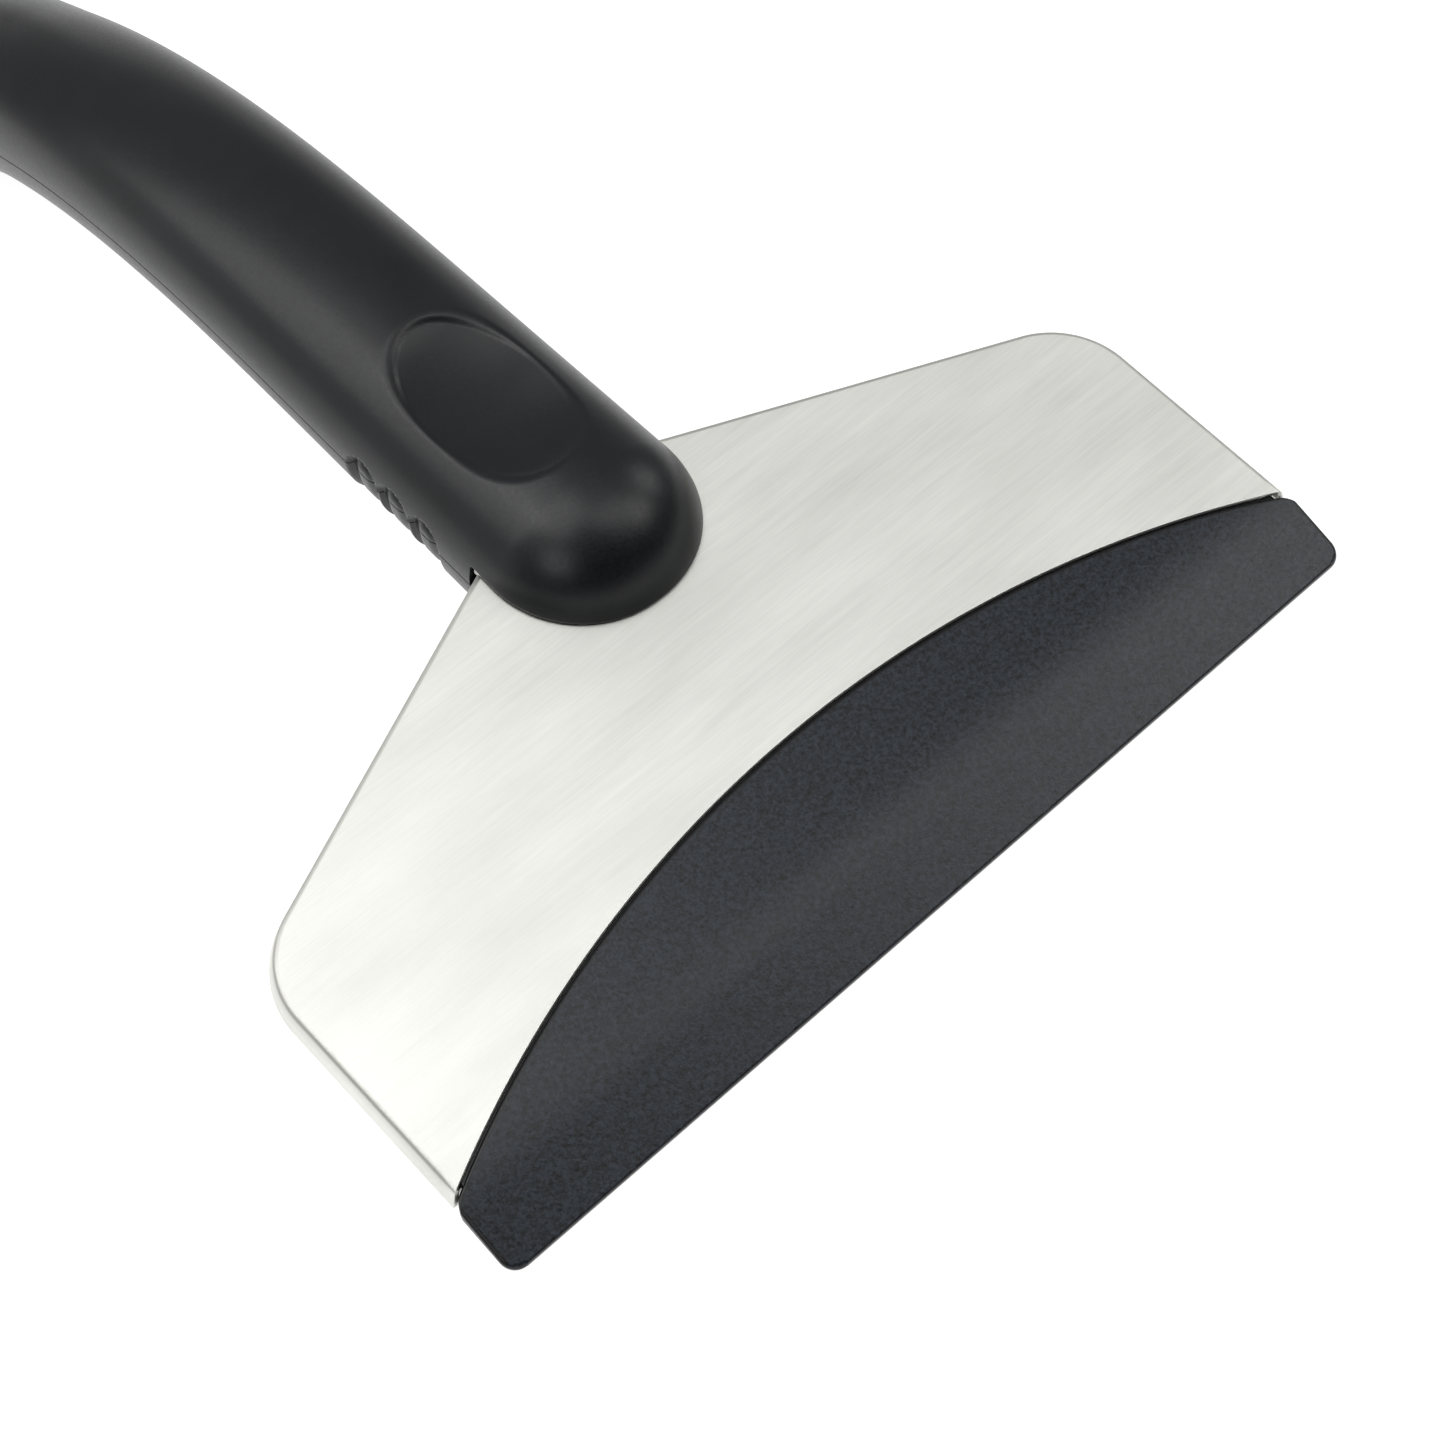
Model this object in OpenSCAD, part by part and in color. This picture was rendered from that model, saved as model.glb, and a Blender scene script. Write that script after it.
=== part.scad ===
// Windshield ice scraper: a flat sheet steel head, in two plates round a hard plastic scraping
// insert, clamped between the two screwed shells of an arched handle.
//
// Each sub-part is drawn in head coordinates: Y runs from the scraping edge to the butt,
// Z is square to the front plate, and Z = 0 is the front plate's outer face. rest_pose()
// then lays the tool down on its scraping edge and butt, as it rests on a table, with the
// origin under the middle of its box.

/* [Head] */
// Length of the scraping edge
blade_w = 114.4; // [113.8:0.1:116]
// Width of the front plate's flat face
steel_w = 112.8; // [111:0.1:113.2]
// Thickness of the steel sheet
sheet_t = 0.6; // [0.5:0.1:0.8]
// Distance from the scraping edge to the crown of the arched mouth
mouth_y = 22.5; // [20:0.5:26]
// Radius of the arched mouth
mouth_r = 122.3; // [115:0.1:135]
// Distance from the scraping edge to the shoulder corners
shoulder_y = 38.2; // [36:0.1:40]
// Slope of the shoulders towards the neck
shoulder_rise = 0.43; // [0.4:0.01:0.46]
// Rounding of the shoulder corners
shoulder_r = 10; // [6:0.5:14]
// Width of the neck where it enters the handle
neck_w = 24.2; // [23:0.1:24.6]
// Depth of the head over both plates
head_depth = 2.4; // [2.3:0.1:2.7]
// How far the front plate's folded rim flares out
rim_flare = 0.7; // [0.4:0.1:1]

/* [Insert] */
// Depth of the scraping edge below the front face
edge_drop = 3; // [2:0.1:3.4]
// Thickness of the scraping edge
edge_t = 0.8; // [0.6:0.1:1.2]
// Distance over which the front face slopes to the edge
bevel_y = 10; // [8:0.5:11]
// Rounding of the two ends of the edge
edge_r = 1.8; // [1:0.1:2.5]
// Length of the tongue inside the pocket
tongue_l = 7; // [5:0.5:8]

/* [Handle] */
// Half width of the handle at the nose
nose_a = 12.6; // [12.2:0.1:12.8]
// Half width lost over the first 100 mm of the handle
taper_a = 1.7; // [1.5:0.1:2.4]
// Height of the handle's section over its width
section_flat = 0.877; // [0.86:0.001:0.9]
// Superellipse exponent of the section
section_p = 2.25; // [2.1:0.01:2.4]
// Length of the handle's spine between its two rounded ends
spine_l = 147.5; // [144:0.5:149]
// Bend of the arch from nose to butt, in degrees
arch_bend = 38.5; // [36:0.5:41]
// Wall thickness of the shells
wall = 2.2; // [1.8:0.1:2.4]
// Depth of the thumb dish
dish_depth = 2.1; // [1.6:0.1:2.2]
// Depth of the grip scallops on the flanks and underside
scallop_depth = 0.6; // [0.4:0.1:0.9]
// Radius of the hang hole
hang_r = 3.5; // [3:0.1:3.6]

/* [Screws] */
// Radius of the screw shanks
shank_r = 1.5; // [1.4:0.05:1.6]
// Radius of the screw heads
head_r = 2.8; // [2.6:0.05:2.9]
// Height of the screw heads
head_h = 1.8; // [1.6:0.1:2]
// Length of the tang screws with their heads
tang_screw_l = 14.5; // [14:0.1:14.8]
// Length of the butt screw with its head
butt_screw_l = 12; // [11:0.1:12.4]

/* [Hidden] */

STEEL = [0.80, 0.80, 0.78];
INSERT = [0.22, 0.23, 0.24];
HANDLE = [0.10, 0.10, 0.11];
SCREW = [0.62, 0.62, 0.62];

gap = 0.05;                 // play between parts that are fitted together
clear = 0.1;                // play round the head in the handle's slot
mouth_gap = 0.25;           // groove between the plates' mouth and the insert
big = 400;                  // larger than the tool
deep = 30;                  // deeper than the head

// The head's outline
steel_a = steel_w / 2;
neck_a = neck_w / 2;
neck_y = shoulder_y + (steel_a - neck_a) * shoulder_rise;
mouth_c = mouth_y - mouth_r;              // centre of the mouth's arc on the Y axis
corner_y = mouth_c + sqrt(mouth_r * mouth_r - steel_a * steel_a);
tang_y = neck_y + 0.6;                    // where the neck steps in to the tang
tang_end = 91;
tang_a = 7.5;
spacer_a = 6;
spacer_y = 52;
neck_over = 6;              // how far the pocket runs on past the neck

// The spine: nearly straight behind the nose, then an arch that tightens and eases
nose_y = 54.5;
nose_z = -2.8;
nose_pitch = -1.9;
arch_start = 30;
arch_len = 110;
butt_cap = 9.5;
step = 1;

function ease(u) = let (c = max(0, min(1, u))) c * c * (3 - 2 * c);
function pitch(s) = nose_pitch - arch_bend * ease((s - arch_start) / arch_len);
function run(n) = n == 0 ? [[nose_y, nose_z]]
    : let (r = run(n - 1), p = r[n - 1], a = pitch((n - 0.5) * step))
      concat(r, [[p.x + step * cos(a), p.y + step * sin(a)]]);
trail = run(ceil(spine_l / step) + 1);
function spine(s) = s < 0 ? [nose_y + s * cos(nose_pitch), nose_z + s * sin(nose_pitch)]
    : s > spine_l ? spine(spine_l) + (s - spine_l) * [cos(pitch(spine_l)), sin(pitch(spine_l))]
    : let (i = floor(s / step), f = s / step - i) trail[i] * (1 - f) + trail[i + 1] * f;

// Half width: tapers from the nose, then flares a little towards the butt
function half_w(s) = nose_a - taper_a * min(s, 100) / 100 + 1.2 * ease((s - 96) / 40);
function cap(s, inset) = s < 0 ? sqrt(max(0, 1 - pow(s / (nose_a - inset), 2)))
    : s > spine_l ? sqrt(max(0, 1 - pow((s - spine_l) / (butt_cap - inset), 2))) : 1;
function power(c) = sign(c) * pow(abs(c), 2 / section_p);

// Thumb dish on top, as a depth into the surface
dish_s = 14.8;
dish_a = 7.2;
dish_l = 12.1;
function dish(x, s) = let (r = pow(x / dish_a, 2) + pow((s - dish_s) / dish_l, 2))
    dish_depth * pow(max(0, 1 - r), 0.75);

// Grip scallops: scoops round the underside that end in an arch on each flank
scallops = [11.4, 16.5, 21.6];
scallop_l = 2.45;           // half a scallop's length along the spine
scallop_up = 0.04;          // where its arch springs from, over the section's half height
scallop_rise = 0.21;        // height of the arch, over the section's half height
scallop_wall = 0.5;         // share of the scallop that is its sloping wall
function scallop(s, up) = scallop_depth * max([for (c = scallops)
    ease((1 - norm([(s - c) / scallop_l, max(0, up - scallop_up) / scallop_rise])) / scallop_wall)]);

// A point on the handle's skin: angle 0 to 180 over the top, 180 to 360 underneath
function skin(s, angle, inset) = let (
    k = cap(s, inset),
    a = (half_w(max(0, s)) - inset) * k,
    b = (half_w(max(0, s)) * section_flat - inset) * k,
    up = power(sin(angle)),
    squeeze = 1 - scallop(s, up) / half_w(0),
    x = a * power(cos(angle)) * squeeze,
    v = b * up * squeeze - (up > 0 ? dish(x, s) : 0),
    p = spine(s),
    t = pitch(s))
    [x, p.x - v * sin(t), p.y + v * cos(t)];

// Stations along the spine, closer together under the grip scallops
cap_steps = 7;
stations = concat(
    [for (i = [1:cap_steps - 1]) -nose_a * cos(90 * i / cap_steps)],
    [0, 2.6, 5.2, 7.6],
    [for (s = [8.95:0.85:24.3]) s],
    [for (s = [27:6:spine_l - 4]) s],
    [spine_l],
    [for (i = [cap_steps - 1:-1:1]) spine_l + butt_cap * cos(90 * i / cap_steps)]);
facets = 14;                // facets round half a section

function squeezed(s, inset) = s < 0 ? s * (nose_a - inset) / nose_a
    : s > spine_l ? spine_l + (s - spine_l) * (butt_cap - inset) / butt_cap : s;
function half_skin(start, inset) = concat(
    [skin(inset - nose_a, start, inset)],
    [for (s = stations) for (j = [0:facets])
        skin(squeezed(s, inset), start + 180 * j / facets, inset)],
    [skin(spine_l + butt_cap - inset, start, inset)]);

// Faces of a half skin: a fan at each end and quads, split in two, between the stations
rings = len(stations);
row = facets + 1;
count = rings * row + 2;
function at(base, i, j) = base + 1 + i * row + j;
function wound(f, flip) = flip ? [f[2], f[1], f[0]] : f;
function skin_faces(base, flip) = concat(
    [for (j = [0:facets - 1]) wound([base, at(base, 0, j), at(base, 0, j + 1)], flip)],
    [for (i = [0:rings - 2]) for (j = [0:facets - 1])
        wound([at(base, i, j), at(base, i + 1, j), at(base, i + 1, j + 1)], flip)],
    [for (i = [0:rings - 2]) for (j = [0:facets - 1])
        wound([at(base, i, j), at(base, i + 1, j + 1), at(base, i, j + 1)], flip)],
    [for (j = [0:facets - 1])
        wound([base + count - 1, at(base, rings - 1, j + 1), at(base, rings - 1, j)], flip)]);
function edge_run(base, j) = concat(
    [base], [for (i = [0:rings - 1]) at(base, i, j)], [base + count - 1]);
function rim_faces(j, flip) = let (o = edge_run(0, j), n = edge_run(count, j)) concat(
    [for (i = [0:len(o) - 2]) wound([o[i], n[i], n[i + 1]], flip)],
    [for (i = [0:len(o) - 2]) wound([o[i], n[i + 1], o[i + 1]], flip)]);

// Resting on the scraping edge and the butt
edge_bottom = -edge_drop - edge_t;
lower_skin = half_skin(180, 0);
upper_skin = half_skin(0, 0);
rest_tilt = max([for (p = lower_skin) atan2(edge_bottom - p.z, p.y)]);
function back_at(p) = p.y * cos(rest_tilt) - p.z * sin(rest_tilt);
back_y = max([for (p = concat(lower_skin, upper_skin)) back_at(p)]);
front_y = edge_drop * sin(rest_tilt);
lift = -edge_bottom * cos(rest_tilt);

// Screw and hang hole places along the spine
tang_screw_y = [59.5, 84.5];
butt_screw_s = 112;
hang_s = spine_l - 1.5;
boss_r = 3.6;
pilot_r = shank_r + 0.02;
recess = 3.4;               // depth of a screw's head below the skin
footing = 1.8;              // how far a boss starts inside the shell's wall

module rest_pose() {
    translate([0, -(front_y + back_y) / 2, lift]) rotate([rest_tilt, 0, 0]) children();
}

// Puts an upright part on the spine, square to it
module on_spine(s) {
    translate([0, spine(s).x, spine(s).y]) rotate([pitch(s), 0, 0]) children();
}

// Right half of the head's outline, from the mouth round the corner and up the shoulder
function corner_arc(inset) = let (
    turn = 90 - atan(shoulder_rise),
    back = shoulder_r * tan(turn / 2),
    r = shoulder_r - inset,
    c = [steel_a - shoulder_r, shoulder_y - back])
    [for (i = [0:12]) c + r * [cos(turn * i / 12), sin(turn * i / 12)]];
function half_head(inset, over) = concat(
    [[steel_a - inset, 0]],
    corner_arc(inset),
    [[neck_a - over, neck_y + over * shoulder_rise - inset * sqrt(1 + pow(shoulder_rise, 2))]]);
function mirrored(points) = concat(
    points, [for (i = [len(points) - 1:-1:0]) [-points[i].x, points[i].y]]);

module mouth_arc(r) {
    translate([0, mouth_c]) circle(r = r, $fn = 240);
}

// The head's outline, and the neck and tang that run on into the handle
module head_outline(inset, over = 0) {
    polygon(mirrored(half_head(inset, over)));
}
module tang_outline() {
    polygon(mirrored([[neck_a, neck_y - 3], [neck_a, tang_y], [tang_a, tang_y],
                      [tang_a, tang_end - 2], [tang_a - 2, tang_end]]));
}

// The head's solid between two depths, its sides leaning out by rim_flare over head_depth
module flared(inset, top, bottom, over = 0) {
    thin = 0.01;
    hull() {
        translate([0, 0, top - thin]) linear_extrude(thin)
            head_outline(inset + rim_flare * top / head_depth, over);
        translate([0, 0, bottom]) linear_extrude(thin)
            head_outline(inset + rim_flare * bottom / head_depth, over);
    }
}

module mouth_cut() {
    translate([0, mouth_c, -deep]) cylinder(r = mouth_r, h = 2 * deep, $fn = 240);
}

module tang_holes(r) {
    for (y = tang_screw_y) translate([0, y, -deep / 2]) cylinder(r = r, h = deep, $fn = 48);
}

module front_plate() color(STEEL) rest_pose() difference() {
    union() {
        // the flat face, with its rim folded down round the sides and shoulders
        difference() {
            flared(0, 0, -head_depth);
            flared(sheet_t, -sheet_t, -head_depth - 1, neck_over);
        }
        translate([0, 0, -sheet_t]) linear_extrude(sheet_t) tang_outline();
    }
    mouth_cut();
    tang_holes(shank_r + 0.2);
}

module back_plate() color(STEEL) rest_pose() difference() {
    translate([0, 0, -head_depth]) linear_extrude(sheet_t) {
        head_outline(sheet_t + gap - rim_flare * (1 - sheet_t / head_depth));
        tang_outline();
    }
    mouth_cut();
    tang_holes(shank_r + 0.2);
}

// The insert in sight: rounded at the two ends of its edge, arched along the mouth
module edge_outline(a) {
    intersection() {
        union() {
            translate([-a, edge_r]) square([2 * a, big]);
            translate([-a + edge_r, 0]) square([2 * (a - edge_r), big]);
            for (x = [-a + edge_r, a - edge_r]) translate([x, edge_r]) circle(r = edge_r, $fn = 48);
        }
        mouth_arc(mouth_r - mouth_gap);
    }
}

// The insert's side view: level behind the bevel, then sloping down to the edge
module insert_profile() {
    rotate([90, 0, 90]) translate([0, 0, -big / 2]) linear_extrude(big)
        polygon([[0, -edge_drop], [bevel_y, -gap], [mouth_y + 1, -gap],
                 [mouth_y + 1, gap - head_depth], [bevel_y - 1, gap - head_depth],
                 [0, edge_bottom]]);
}

module blade_insert() color(INSERT) rest_pose() union() {
    a = blade_w / 2;
    tongue_side = steel_a - sheet_t - 0.4;
    // the part in sight, flush with both plates and sloped to the edge
    intersection() {
        translate([0, 0, -deep]) linear_extrude(2 * deep) edge_outline(a);
        insert_profile();
    }
    // the tongue in the pocket between the plates
    translate([0, 0, sheet_t + gap - head_depth])
        linear_extrude(head_depth - 2 * sheet_t - 2 * gap) difference() {
            intersection() {
                mouth_arc(mouth_r + tongue_l);
                translate([-tongue_side, corner_y + 1])
                    square([2 * tongue_side, shoulder_y - corner_y - 5]);
            }
            mouth_arc(mouth_r - 1.5);
        }
}

module tang_spacer() color(INSERT) rest_pose() difference() {
    translate([-spacer_a, spacer_y, sheet_t - head_depth])
        cube([2 * spacer_a, tang_end - 3 - spacer_y, head_depth - 2 * sheet_t]);
    tang_holes(shank_r + 0.2);
}

// One screw, head down, its head's face at z = 0 and its tip at z = length
module screw(length) {
    difference() {
        union() {
            cylinder(r = head_r, h = head_h, $fn = 48);
            cylinder(r = shank_r, h = length, $fn = 48);
        }
        for (turn = [0, 90]) rotate([0, 0, turn]) translate([-1.5, -0.3, -1]) cube([3, 0.6, 2]);
    }
}

seat_z = nose_z - half_w(0) * section_flat + recess;       // outer faces of the heads
butt_seat_z = -half_w(butt_screw_s) * section_flat + recess;

module tang_screws() color(SCREW) rest_pose()
    for (y = tang_screw_y) translate([0, y, seat_z]) screw(tang_screw_l);

module butt_screw() color(SCREW) rest_pose()
    on_spine(butt_screw_s) translate([0, 0, butt_seat_z]) screw(butt_screw_l);

module shell_skin(start) {
    polyhedron(points = concat(half_skin(start, 0), half_skin(start, wall)),
               faces = concat(skin_faces(0, true), skin_faces(count, false),
                              rim_faces(0, true), rim_faces(facets, false)));
}

// Slot for the head, down to a depth: open to the front, closed behind the neck
module head_slot(floor) {
    translate([-big / 2, 0, -floor]) cube([big, tang_y + 0.4, floor + clear]);
}

module hang_bore() {
    on_spine(hang_s) translate([0, 0, -deep]) cylinder(r = hang_r, h = 2 * deep, $fn = 64);
}

module handle_top_shell() color(HANDLE) rest_pose() difference() {
    union() {
        shell_skin(0);
        // bosses down to the head's tang, and to the other shell near the butt
        for (y = tang_screw_y) translate([0, y, 0]) cylinder(r = boss_r, h = 5.4, $fn = 48);
        on_spine(butt_screw_s) cylinder(r = boss_r, h = 7.6, $fn = 48);
        on_spine(hang_s) cylinder(r = hang_r + wall, h = 7.4, $fn = 64);
    }
    head_slot(deep);
    for (y = tang_screw_y) translate([0, y, seat_z])
        cylinder(r = pilot_r, h = tang_screw_l + 0.2, $fn = 48);
    on_spine(butt_screw_s) translate([0, 0, butt_seat_z])
        cylinder(r = pilot_r, h = butt_screw_l + 0.2, $fn = 48);
    hang_bore();
}

// Boss under a screw's head, from inside the wall up to a height
module seat_boss(seat, top) {
    translate([0, 0, seat - footing])
        cylinder(r = head_r + 1.6, h = top - seat + footing, $fn = 48);
}

// Counterbore for a screw's head, and the clearance hole for its shank
module seat_hole(seat) {
    translate([0, 0, seat + head_h - deep]) cylinder(r = head_r + 0.3, h = deep, $fn = 48);
    translate([0, 0, seat]) cylinder(r = shank_r + 0.2, h = deep, $fn = 48);
}

module handle_bottom_shell() color(HANDLE) rest_pose() difference() {
    union() {
        shell_skin(180);
        for (y = tang_screw_y) translate([0, y, 0]) seat_boss(seat_z, -head_depth);
        on_spine(butt_screw_s) seat_boss(butt_seat_z, 0);
        on_spine(hang_s) translate([0, 0, -7.6]) cylinder(r = hang_r + wall, h = 7.6, $fn = 64);
    }
    head_slot(head_depth + clear);
    for (y = tang_screw_y) translate([0, y, 0]) seat_hole(seat_z);
    on_spine(butt_screw_s) seat_hole(butt_seat_z);
    hang_bore();
}

front_plate();
back_plate();
blade_insert();
tang_spacer();
handle_top_shell();
handle_bottom_shell();
tang_screws();
butt_screw();
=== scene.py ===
"""The looks of a windshield ice scraper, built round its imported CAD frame.

Pieces are drawn in millimetres in head coordinates: x along the scraping edge, y from
that edge to the butt, z square to the front plate, whose outer face is z = 0. settle()
then lays them down in the CAD frame, in metres.
"""
import math

import bmesh
import bpy
import numpy as np
from mathutils import Matrix, Vector


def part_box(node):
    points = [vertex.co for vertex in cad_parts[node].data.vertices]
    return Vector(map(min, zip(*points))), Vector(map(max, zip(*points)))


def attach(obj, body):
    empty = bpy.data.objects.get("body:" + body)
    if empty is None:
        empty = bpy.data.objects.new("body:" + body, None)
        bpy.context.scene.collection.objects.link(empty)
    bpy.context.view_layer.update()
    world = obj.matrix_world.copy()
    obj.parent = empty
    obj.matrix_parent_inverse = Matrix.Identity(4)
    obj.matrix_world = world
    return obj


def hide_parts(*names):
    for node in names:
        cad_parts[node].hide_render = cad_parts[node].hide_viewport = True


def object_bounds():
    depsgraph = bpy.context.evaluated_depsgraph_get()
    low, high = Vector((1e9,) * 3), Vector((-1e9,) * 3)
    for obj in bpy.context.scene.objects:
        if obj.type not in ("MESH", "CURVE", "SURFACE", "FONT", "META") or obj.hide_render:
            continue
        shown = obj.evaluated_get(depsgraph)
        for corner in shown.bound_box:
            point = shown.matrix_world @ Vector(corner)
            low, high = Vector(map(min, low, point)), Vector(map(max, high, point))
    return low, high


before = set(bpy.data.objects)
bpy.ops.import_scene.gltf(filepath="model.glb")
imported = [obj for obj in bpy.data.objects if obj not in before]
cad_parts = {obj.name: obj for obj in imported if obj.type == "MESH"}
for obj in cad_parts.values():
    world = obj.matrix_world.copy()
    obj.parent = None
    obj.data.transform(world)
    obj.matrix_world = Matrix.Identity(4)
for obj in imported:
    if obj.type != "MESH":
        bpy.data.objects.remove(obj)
CAD_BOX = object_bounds()
MM = 0.001

# The steel head. A name that ends in _A is half a width, in _R a radius, in _L a length.
SHEET_T = 0.6              # thickness of the steel sheet
HEAD_DEPTH = 2.4           # over both plates
RIM_FLARE = 0.7            # how far the folded rim leans out over the head's depth
FOLD_R = 0.7               # outside radius of the fold
FOLD_SHADE = (0.012, 0.6)  # depths between which the fold is painted darker than the face, as shade
DRESSED = 0.15             # width of the sheets' dressed edges
MOUTH_Y = 22.5             # crown of the arched mouth
MOUTH_R = 122.3
SHOULDER_Y = 38.2          # where the side and shoulder lines would cross
SHOULDER_RISE = 0.43       # slope of the shoulders
SHOULDER_R = 10
NECK_A = 12.1
TANG_A = 7.5
TANG_END = 91
TANG_HOLE_R = 1.7
TANG_SCREW_Y = (59.5, 84.5)
PLAY = 0.05                # between parts that are fitted together

# The scraping insert
EDGE_DROP = 3.0            # depth of the scraping edge below the front face
EDGE_T = 0.8               # thickness at the edge
EDGE_R = 1.8               # rounding of the two ends of the edge, seen from above
HORN_R = 1.3               # rounding of the two ends of the mouth side, seen from above
ARRIS_R = 0.22             # rounding of the scraping edge's arris
RIM_R = 0.45               # rounding of the arris along the sides and the mouth
BEVEL_Y = 10               # where the bevel meets the level part
CREASE = 3.5               # length over which the bevel's crease is rounded
TONGUE_L = 7
TONGUE_LAP = 0.6           # how far the tongue reaches under the mouth's line
MOUTH_GAP = 0.25
SHADED_BAND = 0.4          # width of the band round the insert's outline painted darker, as shade

# The handle: a superellipse carried along a bent spine
NOSE_Y = 54.5
NOSE_Z = -2.8
NOSE_PITCH = -1.9          # degrees
NOSE_A = 12.6
TAPER_A = 1.7              # lost from the half width over the first TAPER_L of the spine
TAPER_L = 100
SWELL_A = 1.2              # gained again towards the butt, from SWELL_S on
SWELL_S = 96
SWELL_L = 40
SECTION_FLAT = 0.877       # the section's half height over its half width
SECTION_P = 2.25           # the superellipse's power
SPINE_L = 147.5
ARCH_START = 30
ARCH_LEN = 110
ARCH_BEND = 38.5           # degrees
BUTT_CAP = 9.5             # length of the rounded butt past the spine's end
WALL = 2.2
DISH_S = 14.8              # the dish's middle, along the spine
DISH_A = 7.2
DISH_L = 12.1              # half its length
DISH_DEPTH = 2.1
DISH_HOLLOW = 0.5          # how much the dish's floor rises from its middle to its sides
DISH_ROUND = 0.3           # softness of the dish's rim
DISH_STEP = 0.19           # height of the small step round the dish, at its rear
DISH_STEP_W = 0.055        # width of that step, over the dish's half size
SCALLOPS = (11.4, 16.5, 21.6)  # the grip scallops' middles, along the spine
SCALLOP_L = 2.45           # half a scallop's length along the spine
SCALLOP_UP = 0.04          # where its arch springs from, over the section's half height
SCALLOP_RISE = 0.21        # height of the arch, over the section's half height
SCALLOP_WALL = 0.17        # share of the scallop that is its steep wall
SCALLOP_DEPTH = 0.8        # depth at the foot of that wall
SCALLOP_PAD = 0.65         # how far the pad inside rises back, over that depth
PARTING_R = 0.16           # rounding of the shells' edges along their parting line
LIP_R = 0.42               # rounding of the nose where it stands on the plate
CLEAR = 0.1                # play round the head in the handle's slot
HANG_R = 3.5
HANG_S = SPINE_L - 1.5
HANG_FLARE = 0.9           # rounding of the hang hole's mouths
BOSS_R = 3.6               # the top shell's bosses; their heights follow
TANG_BOSS = 5.4
BUTT_BOSS = 7.6
HANG_BOSS = (-7.6, 7.4)    # the hang hole's sleeve, down and up from the parting line
FAR = 30                   # past the outside of the handle, for cutters

# The screws
SHANK_R = 1.5
THREAD_PITCH = 1.1
THREAD_DEPTH = 0.32
THREAD_STEP = 0.11         # height between the rings of the threaded skin
POINT_L = 2.0              # length of the pointed end
HEAD_R = 2.8
HEAD_H = 1.8
HEAD_DOME = 0.9            # height of the head's rounded part
RECESS = 3.4               # depth of a screw's head below the handle's skin
TANG_SCREW_L = 14.5
BUTT_SCREW_L = 12
BUTT_SCREW_S = 112         # along the spine
BORE_R = HEAD_R + 0.3      # the counterbores in the bottom shell
PASS_R = SHANK_R + 0.2     # the holes in their floors
PILOT_R = SHANK_R + 0.02

# The camera, in head coordinates, in millimetres and degrees
CAMERA_AT = (-100.65, -67.92, 254.23)
CAMERA_AIM = (-5.3, 27.9, 0)
CAMERA_ROLL = -15.0
CAMERA_LENS = 72.25
CAMERA_SENSOR = 36

# The studio, in metres, directions in the CAD frame
ROOM_GLOW = 0.56           # brightness of the room round the softboxes
TABLE_R = 6
TABLE_GLOW = 0.88
HEAD_MIDDLE = (0, 45, 0)   # what the softboxes point at, in head coordinates
SOFTBOX_AWAY = 0.9
SOFTBOXES = (              # name, direction from the head, size, brightness
    ("overhead", (-0.12, 0.0, 1.0), (0.6, 0.6), 2.75),
    ("front_top", (0.30, -0.41, 0.86), (0.28, 0.24), 3.2),
    ("front_right", (0.54, -0.54, 0.64), (0.3, 0.3), 4.4),
    ("right", (0.84, -0.14, 0.52), (0.28, 0.32), 3.2),
    ("left_band", (-0.48, 0.42, 0.77), (0.42, 0.7), 2.9),
    ("left_front", (-0.66, -0.40, 0.62), (0.4, 0.4), 2.3),
    ("left_low", (-0.80, 0.54, 0.24), (0.8, 0.35), 0.7),
    ("right_rear", (0.65, 0.75, 0.18), (0.7, 0.25), 0.7),
)


# ---------------------------------------------------------------- the head's place

def head_pose():
    """The matrix from head coordinates to the CAD frame, read off the front plate's flat
    face and the insert's box."""
    up = max((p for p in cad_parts["front_plate"].data.polygons if p.normal.z > 0),
             key=lambda p: p.area)
    tilt = math.atan2(-up.normal.y, up.normal.z)
    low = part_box("blade_insert")[0]
    place = Vector((0, low.y - EDGE_DROP * MM * math.sin(tilt),
                    low.z + (EDGE_DROP + EDGE_T) * MM * math.cos(tilt)))
    return Matrix.Translation(place) @ Matrix.Rotation(tilt, 4, "X") @ Matrix.Scale(MM, 4)


HEAD = head_pose()
BLADE_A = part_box("blade_insert")[1].x / MM
FACE_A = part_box("front_plate")[1].x / MM - RIM_FLARE
MOUTH_C = MOUTH_Y - MOUTH_R
NECK_Y = SHOULDER_Y + (FACE_A - NECK_A) * SHOULDER_RISE
TANG_Y = NECK_Y + 0.6


# ---------------------------------------------------------------- meshes

def new_piece(name, verts, faces):
    """An object from vertices and faces, in head millimetres."""
    mesh = bpy.data.meshes.new(name)
    mesh.from_pydata([tuple(map(float, v)) for v in verts], [], [list(map(int, f)) for f in faces])
    mesh.validate()
    piece = bpy.data.objects.new(name, mesh)
    bpy.context.scene.collection.objects.link(piece)
    return piece


def from_bmesh(name, bm):
    """An object from a bmesh, which is used up."""
    mesh = bpy.data.meshes.new(name)
    bm.to_mesh(mesh)
    bm.free()
    piece = bpy.data.objects.new(name, mesh)
    bpy.context.scene.collection.objects.link(piece)
    return piece


def outward(piece):
    """Turns every face to look outwards."""
    bm = bmesh.new()
    bm.from_mesh(piece.data)
    bmesh.ops.remove_doubles(bm, verts=bm.verts, dist=1e-5)
    bmesh.ops.recalc_face_normals(bm, faces=bm.faces)
    bm.to_mesh(piece.data)
    bm.free()
    return piece


def bake_modifiers(piece):
    """Puts the result of a piece's modifiers in its mesh."""
    graph = bpy.context.evaluated_depsgraph_get()
    mesh = bpy.data.meshes.new_from_object(piece.evaluated_get(graph))
    piece.modifiers.clear()
    piece.data = mesh


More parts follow.
